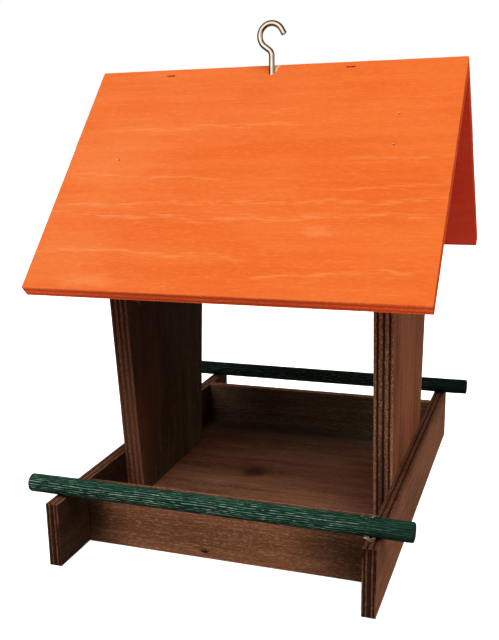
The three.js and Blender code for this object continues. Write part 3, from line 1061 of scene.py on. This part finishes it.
def roof_front_marks(s, local):
    """Growth lines, pale patches, bare flecks beside the brads, the chip at the hook's hole and a painted
    shadow at the left of the hook's foot.
    """
    top = half_size_mm("roof_front_panel", FRONT_SLOPE)[1]
    lines = (
        # distance below the ridge, fall, sway, width, from x to x
        (64, 0.01, 5, 1.8, (-120, 40)),
        (139, 0.02, 6, 2.2, (-150, 150)),
        (152, 0.00, 7, 2.4, (-150, 140)),
        (189, -0.03, 6, 1.8, (-150, 20)),
        (118, -0.05, 5, 1.3, (-150, -20)),
        (128, 0.03, 4, 1.4, (60, 150)),
        (205, 0.06, 7, 1.6, (20, 140)),
        (100, 0.02, 4, 1.4, (80, 150)),
    )
    x = s.split(local)[0]
    marks = []
    for number, (below, fall, sway, width, reach) in enumerate(lines):
        line = growth_line(s, local, top - below, fall, sway, width, reach, 3.7 * number + 1.3)
        marks.append(paint(line, ORANGE.pale, 0.55))
    marks.append(tint(s.ramp(x, -40, 150), (1.0, 0.96, 0.84)))
    marks.append(tint(s.ramp(x, -20, -150), (1.0, 1.05, 1.14)))
    pale, fleck, torn = ORANGE.pale, (0.9, 0.8, 1.0), TORN_ORANGE
    spots = (
        # place along and below the ridge, radii, softness, unevenness, colour, amount
        (65, 164, (16, 7, 4), 0.9, 0.5, pale, 0.45),
        (-98, 212, (34, 9, 4), 0.9, 0.5, pale, 0.45),
        (-105, 95, (60, 50, 20), 0.9, 0.5, pale, 0.16),
        (-40, 20, (110, 30, 20), 0.9, 0.5, pale, 0.10),
        (-120, 185, (50, 40, 20), 0.9, 0.5, pale, 0.12),
        (-108.9, 96.9, fleck, 0.6, 0.35, RAW_WOOD, 0.55),
        (106.1, 55.4, fleck, 0.6, 0.35, RAW_WOOD, 0.55),
        (106.1, 84.9, fleck, 0.6, 0.35, RAW_WOOD, 0.55),
        (4.0, 1.4, (2.0, 2.2, 4.0), 0.4, 0.3, torn, 0.9),
        (3.0, 4.8, (1.5, 3.0, 4.0), 0.4, 0.3, torn, 0.9),
        (4.6, 1.2, (3.0, 2.0, 4.0), 0.8, 0.5, pale, 0.7),
        # A dark spot at the left of the hook's foot: painted shadow.
        (-2.9, 4.6, (0.9, 2.2, 4.0), 0.6, 0.4, ORANGE.glue, 0.9),
    )
    rows = [((along, top - below, 5), *rest) for along, below, *rest in spots]
    return marks + paint_spots(s, local, rows)


def roof_back_marks(s, local):
    """Pale scratches near the right end of the inner face."""
    top = half_size_mm("roof_back_panel", BACK_SLOPE)[1]
    scratches = ((141, 82, 3.2), (140, 98, 2.0), (144, 101, 1.8))
    colour = (0.85, 0.34, 0.22)
    rows = [((-x, top - y, -5), (reach, 0.8, 1.5), 0.6, 0.5, colour, 0.7) for x, y, reach in scratches]
    return paint_spots(s, local, rows)


def front_board_marks(s, local):
    """Painted shade toward both ends, where the rails keep light off, and the painted shade of a small
    hole low down.
    """
    # Painted shade at both ends, where the rails keep light off.
    right = spot(s, local, (100, -4, 4), (62, 60, 40), 0.95, 0.25)
    left = spot(s, local, (-124, 0, 4), (56, 80, 40), 0.85, 0.2)
    # A small hole whose shade is painted in a dark colour.
    hole = spot(s, local, (-15.4, -19.4, 4), (4.0, 1.9, 3), 0.4, 0.3)
    return [
        tint(right, (0.18, 0.20, 0.22), 0.95),
        tint(left, (0.08, 0.10, 0.12)),
        paint(hole, HOLE_SHADE, 0.95),
    ]


def floor_marks(s, local):
    """A dark knot with its halo left of the middle; painted shade at the back and at the front right, and
    painted light in the middle.
    """
    y = s.split(local)[1]
    # Painted shade at the back under the roof and at the front right, painted light in the middle.
    behind = s.ramp(y, 55, 125)
    middle = spot(s, local, (-10, 62, 4), (110, 52, 40), 0.9, 0.3)
    near_right = spot(s, local, (100, -25, 4), (90, 85, 40), 0.8, 0.2)
    halo = spot(s, local, (-26, 12, 6), (32, 28, 10), 0.9, 0.35)
    knot = spot(s, local, (-23, 5, 6), (15, 15, 9), 0.75, 0.35)
    streak = spot(s, local, (-4, 17, 6), (16, 2.0, 5), 0.9, 0.6)
    return [
        tint(behind, (0.26, 0.44, 0.50)),
        tint(middle, (1.12, 1.30, 1.38)),
        tint(near_right, (0.74, 0.68, 0.78)),
        paint(halo, BROWN.dark, 0.5),
        paint(knot, BROWN.end_grain, 0.8),
        paint(streak, BROWN.pale, 0.2),
    ]


def rail_marks(s, local):
    """Darker just under the top edge."""
    y = s.split(local)[1]
    uneven = s.noise(local, (30, 30, 30))
    height = s.scaled(uneven, 4, y)
    return [tint(s.ramp(height, 19, 28), (0.45, 0.36, 0.34), 0.8)]


def right_upright_marks(s, local):
    """Painted shade low down on the front edge."""
    half = half_size_mm("right_upright", FACING_RIGHT)
    # Painted shade low down on the front edge.
    low_edge_shade = spot(s, local, (-half[0], half[1], -1), (150, 90, 8), 0.8, 0.05)
    return [tint(low_edge_shade, (0.22, 0.24, 0.26))]


def left_upright_marks(s, local):
    """Painted light low down by the front edge, where light from the front reaches the inner face, and
    two small pale nicks on the inner face.
    """
    low, high = local_box("left_upright", FACING_LEFT)
    middle = (high + low) / 2 / MM
    front = -half_size_mm("left_upright", FACING_LEFT)[1]
    # Painted light from the front on the inner face, low down by the front edge.
    glow = spot(s, local, (-95, front + 28, -7.5), (115, 48, 30), 1.0, 0.3)
    marks = [paint(glow, (0.215, 0.082, 0.042), 0.7)]
    for y, z in ((-27.6, 38.7), (-44.5, 25.1)):
        nick = spot(s, local, (z - middle.x, y - middle.y, -7.5), (1.6, 0.7, 1.5), 0.5)
        marks.append(paint(nick, BROWN.pale, 0.8))
    return marks


ROOF_FRONT_FIGURE = figure(ring_spacing=38, rings=0.08, streaks=0.30, hatch=0.27, hatch_length=6)
ROOF_BACK_FIGURE = figure(ring_spacing=30, rings=0.25, streaks=0.30, hatch=0.27, hatch_length=6)
FLOOR_FIGURE = figure(ring_spacing=26, rings=0.15, clouds=0.9, hatch=0.35)
FRONT_BOARD_FIGURE = figure(
    ring_spacing=14, rings=0.15, clouds=0.6, streaks=0.9, hatch=0.75, hatch_length=4
)
RAIL_FIGURE = figure(rings=0.2, streaks=0.55, hatch=0.4)
UPRIGHT_FIGURE = figure(ring_spacing=22, rings=0.25, clouds=1.0, hatch=0.3)
SHADED_INNER_FACE = (0.42, 0.75, 0.82)  # painted shade: what multiplies the colour of the uprights' inner faces under the roof
# Painted shade and painted orange bounce light on the undersides of the roof boards.
ROOF_UNDERSIDE_SHADE = (0.98, 0.37, 0.80)


def make_wood():
    roof = dict(tints={-1: ROOF_UNDERSIDE_SHADE})
    # The rails' dark edge tones are painted shade, set against the light on their top edges.
    rail = dict(shown=RAIL_FIGURE, edge_tones=(0.42, 0.45))
    end_board = dict(edge_tones=(0.7, 0.5))
    boards = (
        # node, turn, plies, stain, settings of its wood
        ("roof_front_panel", FRONT_SLOPE, ROOF_PLIES, ORANGE,
         dict(roof, shown=ROOF_FRONT_FIGURE, marks=roof_front_marks)),
        ("roof_back_panel", BACK_SLOPE, ROOF_PLIES, ORANGE,
         dict(roof, shown=ROOF_BACK_FIGURE, marks=roof_back_marks)),
        # The dark tints on the inner faces of the rails and the end boards are painted shade.
        ("left_rail", axes(BACK, RIGHT), RAIL_PLIES, BROWN,
         dict(rail, tints={1: (0.17, 0.21, 0.23)})),
        ("right_rail", axes(BACK, RIGHT), RAIL_PLIES, BROWN,
         dict(rail, tints={-1: (0.3, 0.4, 0.4)}, marks=rail_marks)),
        ("front_board", axes(RIGHT, -BACK), RAIL_PLIES, BROWN,
         dict(end_board, shown=FRONT_BOARD_FIGURE, tints={-1: (0.5, 0.5, 0.5)},
              marks=front_board_marks)),
        ("back_board", axes(RIGHT, -BACK), RAIL_PLIES, BROWN,
         dict(end_board, tints={1: (0.45, 0.76, 0.92)})),
        ("floor_panel", axes(RIGHT, UP), RAIL_PLIES, BROWN,
         dict(shown=FLOOR_FIGURE, tints={1: (1.10, 1.28, 1.42)}, marks=floor_marks)),
        ("left_upright", FACING_LEFT, UPRIGHT_PLIES, BROWN,
         dict(shown=UPRIGHT_FIGURE, tints={-1: SHADED_INNER_FACE}, edge_tones=(0.66, 0.95),
              marks=left_upright_marks)),
        ("right_upright", FACING_RIGHT, UPRIGHT_PLIES, BROWN,
         dict(shown=UPRIGHT_FIGURE, tints={-1: SHADED_INNER_FACE, 1: (1.22, 1.04, 0.96)},
              edge_tones=(1.4, 1.05), marks=right_upright_marks)),
        ("ridge_batten", FRONT_SLOPE, SOLID, BROWN, {}),
    )
    for seed, (node, turn, plies, stain, settings) in enumerate(boards, start=1):
        low, high = local_box(node, turn)
        material = wood(node + "_stain", stain, plies, high.z - low.z, seed, **settings)
        board = make_board(node, turn, plies, material, stain.slot, seed)
        board.visible_glossy = stain is not ORANGE  # the hook mirrors the studio, not the bright roof


def make_all_splinters():
    raw = raw_splinter()
    perch_low, perch_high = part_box("front_perch")
    rail_low, rail_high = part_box("right_rail")
    rail_x = (rail_low.x + rail_high.x) / 2
    axis_y = (perch_low.y + perch_high.y) / 2
    front_out = Vector((0, -0.8, -0.3)).normalized()
    top = Vector((rail_x, axis_y, perch_high.z - 0.5 * MM))
    under = Vector((rail_x - 7.0 * MM, axis_y - 4.6 * MM, rail_high.z + 1.9 * MM))
    sites = [
        (top + Vector((-9 * MM, -0.6 * MM, 0)), RIGHT, UP, 4, 3.4 * MM),
        (top + Vector((-3 * MM, -0.8 * MM, 0)), RIGHT, UP, 4, 3.0 * MM),
        (under, RIGHT, front_out, 7, 7.5 * MM),
        (under + Vector((6.0 * MM, 0, 0.3 * MM)), RIGHT, front_out, 4, 2.6 * MM),
    ]
    make_splinters("perch_splinters_right", sites, raw)
    left_top = Vector((-rail_x, axis_y - 1.0 * MM, perch_high.z - 0.6 * MM))
    make_splinters("perch_splinters_left", [(left_top, RIGHT, UP, 3, 2.2 * MM)], raw)


def make_eave_splinter():
    """Two stained splinters that hang from the front eave, as one piece."""
    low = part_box("roof_front_panel")[0]
    edge = Vector((-59 * MM, low.y + 6.6 * MM, low.z + 0.6 * MM))
    down = Vector((0.25, 0.1, -1)).normalized()
    stained = wood("eave_splinter_stain", ORANGE, SOLID, 10 * MM, 20.0)
    sites = [(edge, Vector((1, 0, -0.12)).normalized(), down, 2, 7.5 * MM)]
    make_splinters("eave_splinter", sites, stained, "orange_stain")


# ---- studio

FLOOR_SIZE = 40.0
FLOOR_DROP = 0.2 * MM
FLOOR_COLOUR = (0.90, 0.90, 0.90)
BACKDROP_RADIUS = 9.0
LIGHT_ABOVE = 0.17
LIGHT_BELOW = 0.12
# What metal mirrors: a panel in front, one to the side and one behind, in a dim surround.
STUDIO_FRONT = (-0.06, -0.96, 0.27)
FRONT_GAIN = 1.15
SIDE_GAIN = 0.55
SIDE_AZIMUTH = 1.10
BEHIND_GAIN = 0.7
BETWEEN_PANELS = 0.08
WARM_SHADOW = (1.0, 0.72, 0.50)


def stage_piece(build, material, unseen_by):
    """A piece of the studio, hidden from those kinds of ray."""
    mesh = built(material.name, build)
    mesh.materials.append(material)
    piece = add_object(material.name, mesh)
    for kind in unseen_by:
        setattr(piece, "visible_" + kind, False)
    return piece


def make_floor():
    s = Shader("studio_floor")
    cloud = s.noise(s.local(), (900, 900, 900))
    colour = s.mix(cloud, FLOOR_COLOUR, toned(FLOOR_COLOUR, 0.985))
    build = bmesh.new()
    bmesh.ops.create_grid(build, x_segments=4, y_segments=4, size=FLOOR_SIZE / 2)
    matte = s.finish(colour, 0.9, Specular_IOR_Level=0.1)
    floor = stage_piece(build, matte, ("diffuse", "glossy", "shadow"))
    floor.location.z = -FLOOR_DROP
    return floor


def make_backdrop():
    """A white surround that only the camera sees, so that the soft light stays directional."""
    s = Shader("studio_backdrop")
    glow = s.add("Emission", {"Color": (1, 1, 1, 1), "Strength": 1.0})
    s.add("OutputMaterial", {0: glow.outputs[0]})
    build = bmesh.new()
    bmesh.ops.create_uvsphere(build, u_segments=64, v_segments=32, radius=BACKDROP_RADIUS)
    stage_piece(build, s.material, ("diffuse", "glossy", "transmission", "volume_scatter", "shadow"))


def make_world():
    """Soft light all round, and for metal to mirror a studio that is bright in front and dim behind."""
    world = bpy.data.worlds.new("studio")
    world.use_nodes = True
    s = Nodes(world.node_tree)
    way = s.add("TexCoord", {}).outputs["Generated"]
    x, y, z = s.split(way)
    soft = s.ramp(z, -0.3, 0.3, LIGHT_BELOW, LIGHT_ABOVE)

    ahead = s.vector("DOT_PRODUCT", way, STUDIO_FRONT)
    azimuth = s.math("ARCTAN2", x, s.times(y, -1.0))
    front = s.ramp(ahead, 0.56, 1.0, 0.0, FRONT_GAIN)
    aside = s.absolute(s.minus(azimuth, SIDE_AZIMUTH))
    side = s.times(s.ramp(aside, 0.45, 0.15, 0.0, SIDE_GAIN), s.ramp(s.absolute(z), 0.6, 0.3))
    behind = s.ramp(ahead, -0.75, -0.95, 0.0, BEHIND_GAIN)
    below = s.ramp(z, -0.70, -0.15, 0.25, 1.0)
    panels = s.plus(s.plus(front, side), behind)
    mirrored = s.scaled(panels, below, BETWEEN_PANELS)

    glossy = s.add("LightPath", {}).outputs["Is Glossy Ray"]
    strength = s.add("Mix", {0: glossy, 2: soft, 3: mirrored}, data_type="FLOAT").outputs[0]
    warmth = s.times(glossy, s.ramp(mirrored, 0.6, 0.1))
    colour = s.mix(warmth, (1.0, 1.0, 1.0), WARM_SHADOW)
    background = s.add("Background", {"Color": colour, "Strength": strength})
    s.add("OutputWorld", {0: background.outputs[0]})
    bpy.context.scene.world = world


def make_sun(name, strength, angle, towards):
    light = bpy.data.lights.new(name, "SUN")
    light.energy = strength
    light.angle = radians(angle)
    sun = add_object(name, light)
    sun.rotation_mode = "QUATERNION"
    sun.rotation_quaternion = Vector(towards).to_track_quat("-Z", "Y")
    sun.visible_glossy = False
    return sun


def from_angles(azimuth, elevation):
    """The way that light travels when it comes from `azimuth` round from the front to the right."""
    a = radians(azimuth)
    e = radians(elevation)
    return (-sin(a) * cos(e), cos(a) * cos(e), -sin(e))


def make_lights(floor):
    """Soft suns: each has its strength, its width in degrees and the way its light travels."""
    make_sun("key", 2.35, 45, from_angles(20, 65))
    make_sun("left_fill", 0.8, 45, from_angles(-20, 40))
    make_sun("right_fill", 0.6, 45, from_angles(60, 60))
    rear = make_sun("rear_fill", 0.9, 45, from_angles(160, 55))
    rear.light_linking.receiver_collection = bpy.data.collections.new("all_but_floors")
    for thing in bpy.context.scene.objects:
        if thing.type == "MESH" and thing.visible_get() and "floor" not in thing.name:
            rear.light_linking.receiver_collection.objects.link(thing)
    make_sun("table_bounce", 2.5, 60, (0, 0, 1))
    wash = make_sun("floor_wash", 4.0, 90, (0, 0, -1))
    wash.data.use_shadow = False
    wash.light_linking.receiver_collection = bpy.data.collections.new("floor_only")
    wash.light_linking.receiver_collection.objects.link(floor)


CAMERA_PLACE = Vector((0.2201, -0.7298, 0.3296))
CAMERA_YAW = radians(21.44)
CAMERA_PITCH = radians(-15.21)
CAMERA_ROLL = radians(-1.72)
CAMERA_LENS = 51.30
CAMERA_SHIFT = (0.0702, 0.0616)


def make_camera():
    data = bpy.data.cameras.new("camera")
    data.lens = CAMERA_LENS
    data.sensor_width = 36
    data.shift_x, data.shift_y = CAMERA_SHIFT
    data.clip_start = 0.05
    camera = add_object("camera", data)
    turn = Matrix.Rotation(CAMERA_YAW, 4, "Z")
    turn = turn @ Matrix.Rotation(pi / 2 + CAMERA_PITCH, 4, "X")
    turn = turn @ Matrix.Rotation(CAMERA_ROLL, 4, "Z")
    camera.matrix_world = Matrix.Translation(CAMERA_PLACE) @ turn
    bpy.context.scene.camera = camera


# ---- build

drive_all(steel())
hook_hole()
make_wood()
make_perch("front_perch", green_rod("green_stain_front", 1.0), 1.0)
# The back perch's dark tone is painted shade from the roof over it.
make_perch("back_perch", green_rod("green_stain_back", 0.25), 4.0)
make_hook(plated_wire())
make_all_splinters()
make_eave_splinter()
studio_floor = make_floor()
make_backdrop()
make_world()
make_lights(studio_floor)
make_camera()
bpy.context.scene.view_settings.view_transform = "Standard"
